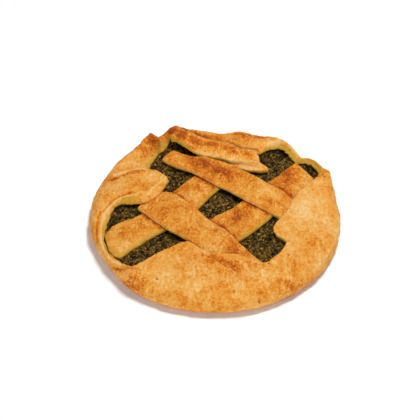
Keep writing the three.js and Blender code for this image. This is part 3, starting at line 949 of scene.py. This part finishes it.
def mottle_group():
    """The uneven browning of baked dough: broad clouds, blotches, grain and flaky strokes."""
    group, bench, given = new_group(
        "baked mottle",
        {"Coordinates": "Vector", "Browned_And_Shade": "Float", "Pale": "Float", "Flaky": "Float"},
        {"Tone": "Float", "Height": "Float"},
    )
    coords = given["Coordinates"]
    noises = {pattern: bench.noise(coords, *pattern) for pattern in TONE_SHARES}
    sways = [bench.sway(noises[pattern], share) for pattern, share in TONE_SHARES.items()]
    lively = bench.add_up(bench.times(noises[BLOTCHES], BROWNED_BLOTCHY), BROWNED_EVEN)
    tone = bench.add_up(MEAN_TONE, *sways, bench.times(given["Browned_And_Shade"], lively))
    tone = bench.minus(tone, bench.times(given["Pale"], PALE_SHARE))
    drawn_out = bench.add("ShaderNodeMapping", STROKE_SHAPE, {"Vector": coords}).outputs["Vector"]
    strokes = bench.noise(drawn_out, *FLAKY_STROKES)
    flaky = bench.add_up(bench.times(given["Flaky"], FLAKY_SHARE), FLAKY_ALL_OVER)
    crests = bench.times(bench.between(strokes, *STROKE_CRESTS), flaky)
    troughs = bench.times(bench.between(strokes, *STROKE_TROUGHS), flaky)
    tone = bench.add_up(bench.minus(tone, crests), bench.times(troughs, TROUGH_SHARE), clamp=True)
    heights = [bench.times(noises[pattern], share) for pattern, share in RELIEF_SHARES.items()]
    height = bench.add_up(*heights, bench.times(crests, CREST_RELIEF))
    bench.add("NodeGroupOutput", links={"Tone": tone, "Height": height})
    return group


def marks_group():
    """What lies on golden dough: peach clouds, toasted flecks, cut faces, stains, painted shade lines and
    darker pits.
    """
    marks = {name: "Float" for name in ("Cut Face", "Stained", "Shade Lines And Dark Pits", "Base Roughness")}
    group, bench, given = new_group(
        "baked marks",
        {"Coordinates": "Vector", "Golden": "Color", **marks},
        {"Colour": "Color", "Roughness": "Float"},
    )
    coords, golden = given["Coordinates"], given["Golden"]
    peach = bench.between(bench.noise(coords, *PEACH_CLOUDS), *PEACH_LIMITS, 0.0, PEACH_SHARE)
    light_dough = bench.between(bench.channels(golden)["Green"], *LIGHT_DOUGH)
    colour = bench.blend(bench.times(peach, light_dough), golden, PEACH)
    dots = bench.between(bench.cells(coords, FLECK_CELLS)["Distance"], *FLECK_LIMITS, 1.0, 0.0)
    sparse = bench.math("GREATER_THAN", bench.noise(coords, *FLECK_CLOUDS), FLECK_FROM)
    colour = bench.blend(bench.times(bench.times(dots, sparse), FLECK_SHARE), colour, FLECK)
    ragged = bench.noise(coords, *RAGGED_EDGES)
    for mark, (raggedness, share, tint) in RAGGED_MARKS.items():
        mask = bench.add_up(given[mark], bench.sway(ragged, raggedness))
        mask = bench.times(mask, given[mark], clamp=True)
        colour = bench.blend(bench.times(mask, share), colour, tint)
    # Painted shade lines, and darker pits.
    colour = bench.blend(given["Shade Lines And Dark Pits"], colour, PAINTED_SHADE_DARK)
    sheen = bench.times(bench.noise(coords, *SHEEN_CLOUDS), DOUGH_SHEEN_SHARE)
    rough = bench.add_up(sheen, given["Base Roughness"])
    bench.add("NodeGroupOutput", links={"Colour": colour, "Roughness": rough})
    return group


def baked_dough(name, mottle, marks, golden, rough):
    """Egg-washed baked dough; golden are the colours from palest to darkest."""
    material, bench, shader = new_finish(name)
    coords = bench.object_coords()
    notes = {socket: bench.attribute(socket.lower()) for socket in ("Browned_And_Shade", "Pale", "Flaky")}
    baking = bench.add("ShaderNodeGroup", node_tree=mottle)
    bench.feed(baking, {"Coordinates": coords, **notes})
    notes = {
        "Cut Face": bench.attribute("cut_face"),
        "Stained": bench.attribute("stained"),
        "Shade Lines And Dark Pits": bench.attribute("shade_lines_and_dark_pits"),
        "Golden": bench.ramp(baking.outputs["Tone"], golden),
    }
    surface = bench.add("ShaderNodeGroup", node_tree=marks)
    surface.inputs["Base Roughness"].default_value = rough
    bench.feed(surface, {"Coordinates": coords, **notes})
    normal = bench.relief(baking.outputs["Height"], 1.0, DOUGH_RELIEF * MM)
    found = {"Base Color": surface.outputs["Colour"], "Roughness": surface.outputs["Roughness"]}
    bench.feed(shader, {**found, "Normal": normal})
    shader.inputs["Specular IOR Level"].default_value = DOUGH_SPECULAR
    return material


def leaf_group():
    """Chopped cooked leaves: clumps a few millimetres wide, and the streaks within a bit."""
    group, bench, given = new_group(
        "chopped leaf",
        {"Coordinates": "Vector", "Own Tone": "Float", "Base Roughness": "Float"},
        {"Tone": "Float", "Roughness": "Float", "Height": "Float"},
    )
    clumps = bench.sway(bench.noise(given["Coordinates"], *LEAF_CLUMPS), CLUMP_SHARE)
    streaks = bench.noise(given["Coordinates"], *LEAF_STREAKS)
    tone = bench.add_up(given["Own Tone"], clumps, bench.sway(streaks, STREAK_SHARE), clamp=True)
    rough = bench.add_up(bench.times(streaks, STREAK_SHEEN), given["Base Roughness"])
    bench.add("NodeGroupOutput", links={"Tone": tone, "Roughness": rough, "Height": streaks})
    return group


def leaf_surface(bench, shader, chop, own_tone, rough):
    """What all leaf finishes share: roughness, sheen and relief. Gives the tone for the colour."""
    leaf = bench.add("ShaderNodeGroup", node_tree=chop)
    leaf.inputs["Base Roughness"].default_value = rough
    bench.feed(leaf, {"Coordinates": bench.object_coords(), "Own Tone": own_tone})
    normal = bench.relief(leaf.outputs["Height"], LEAF_RELIEF_STRENGTH, LEAF_RELIEF * MM)
    bench.feed(shader, {"Roughness": leaf.outputs["Roughness"], "Normal": normal})
    shader.inputs["Specular IOR Level"].default_value = LEAF_SPECULAR
    return leaf.outputs["Tone"]


def leaf_mass(name, chop):
    """The solid filling: brown bits packed together, and about a third of them green."""
    material, bench, shader = new_finish(name)
    bits = bench.cells(bench.object_coords(), LEAF_CELLS)
    pick = bench.channels(bits["Color"])
    own_tone = bench.add_up(bench.times(pick["Red"], OWN_SHARE), MASS_TONE)
    own_tone = bench.minus(own_tone, bench.times(bench.attribute("shaded"), SHADE_SHARE))
    tone = leaf_surface(bench, shader, chop, own_tone, MASS_ROUGHNESS)
    is_green = bench.math("GREATER_THAN", pick["Green"], GREEN_FROM)
    colour = bench.blend(is_green, bench.ramp(tone, LEAF_BROWNS), bench.ramp(tone, LEAF_GREENS))
    bench.feed(shader, {"Base Color": colour})
    return material


def leaf_bits(name, chop, colours, shift):
    """Loose chopped bits: each one takes its own tone."""
    material, bench, shader = new_finish(name)
    own_tone = bench.add_up(bench.times(bench.attribute("leaf_tone"), OWN_SHARE), shift)
    tone = leaf_surface(bench, shader, chop, own_tone, BIT_ROUGHNESS)
    bench.feed(shader, {"Base Color": bench.ramp(tone, colours)})
    return material


# ---------------------------------------------------------------- put together
def dress(piece, node, material):
    """Gives a piece its finish, and puts it in the place of a CAD node if one is named."""
    piece.data.materials.clear()
    piece.data.materials.append(material)
    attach(piece, "root")
    if node:
        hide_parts(node)


crust_cad_tree, filling_cad_tree = cad_tree("crust"), cad_tree("filling")
crust = make_crust(filling_cad_tree)
strips = {node: make_strip(node) for node in LONG_STRIPS + CROSS_STRIPS}
filling = make_filling(crust_cad_tree)
seen = open_places(skin_tree(filling), [skin_tree(piece) for piece in (crust, *strips.values())])
leaves = {name: scatter_leaves(name, seen) for name in LEAVES}

windows = plan_cloud(seen)
overhead = plan_cloud([v.co for node in LONG_STRIPS for v in strips[node].data.vertices])
read_crust(crust, windows)
for node, strip in strips.items():
    read_strip(strip, node, windows, overhead)

mottle, marks, chop = mottle_group(), marks_group(), leaf_group()
dress(crust, "crust", baked_dough("baked crust", mottle, marks, CRUST_COLOURS, CRUST_ROUGHNESS))
strip_finish = baked_dough("baked strips", mottle, marks, STRIP_COLOURS, STRIP_ROUGHNESS)
for node, strip in strips.items():
    dress(strip, node, strip_finish)
dress(filling, "filling", leaf_mass("chopped filling", chop))
for name, piece in leaves.items():
    _, _, _, _, colours, shift = LEAVES[name]
    dress(piece, None, leaf_bits(name.replace("_", " "), chop, colours, shift))


# ---------------------------------------------------------------- stage, light, camera
# Lamps: place and aim in metres, width in metres, power in watts, colour.
LAMPS = {
    "key": ((0.4, 0.46, 1.6), (0, 0, 0), 0.5, 26.5, (1, 1, 1)),
    "low left fill": ((-1.3, -0.9, 0.28), (0, 0, 0.02), 0.7, 7.5, (0.84, 0.94, 1)),
    "low front fill": ((0.2, -1.6, 0.3), (0, 0, 0.02), 0.7, 13.0, (0.88, 0.96, 1)),
}
SKY_COLOUR = (0.92, 0.96, 1, 1)
SKY_STRENGTH = 0.2
FLOOR_WIDTH = 6
FLOOR_ROUGHNESS = 0.9
ELEVATION = 42.5  # degrees that the photo looks down from
AIM = (-5.07, 6.78, 12)  # mm, the point in the middle of the picture
CAMERA_DISTANCE = 1.0
LENS, SENSOR = 83.0, 36.0  # mm


def stage_floor():
    bpy.ops.object.select_all(action="DESELECT")
    bpy.ops.mesh.primitive_plane_add(size=FLOOR_WIDTH, location=(0, 0, 0))
    floor = bpy.context.object
    floor.name = "floor"
    material, _, shader = new_finish("pale floor")
    shader.inputs["Base Color"].default_value = (1, 1, 1, 1)
    shader.inputs["Roughness"].default_value = FLOOR_ROUGHNESS
    floor.data.materials.append(material)


def hang_lamp(name, place, aim, width, power, colour):
    lamp = bpy.data.lights.new(name, "AREA")
    lamp.size = width
    lamp.energy = power
    lamp.color = colour
    holder = bpy.data.objects.new(name, lamp)
    bpy.context.scene.collection.objects.link(holder)
    holder.location = place
    holder.rotation_euler = (Vector(aim) - Vector(place)).to_track_quat("-Z", "Y").to_euler()


def set_sky():
    world = bpy.data.worlds.new("studio")
    bpy.context.scene.world = world
    world.use_nodes = True
    world.node_tree.nodes["Background"].inputs["Color"].default_value = SKY_COLOUR
    world.node_tree.nodes["Background"].inputs["Strength"].default_value = SKY_STRENGTH


def set_camera():
    camera = bpy.data.objects.new("camera", bpy.data.cameras.new("camera"))
    bpy.context.scene.collection.objects.link(camera)
    camera.data.lens = LENS
    camera.data.sensor_width = SENSOR
    camera.data.clip_start, camera.data.clip_end = 0.01, 20.0
    tilt = math.radians(ELEVATION)
    back = Vector((0, -math.cos(tilt), math.sin(tilt))) * CAMERA_DISTANCE
    camera.location = Vector(AIM) * MM + back
    camera.rotation_euler = (-back).to_track_quat("-Z", "Y").to_euler()
    bpy.context.scene.camera = camera
    bpy.context.scene.view_settings.view_transform = "Standard"


stage_floor()
for name, lamp in LAMPS.items():
    hang_lamp(name, *lamp)
set_sky()
set_camera()
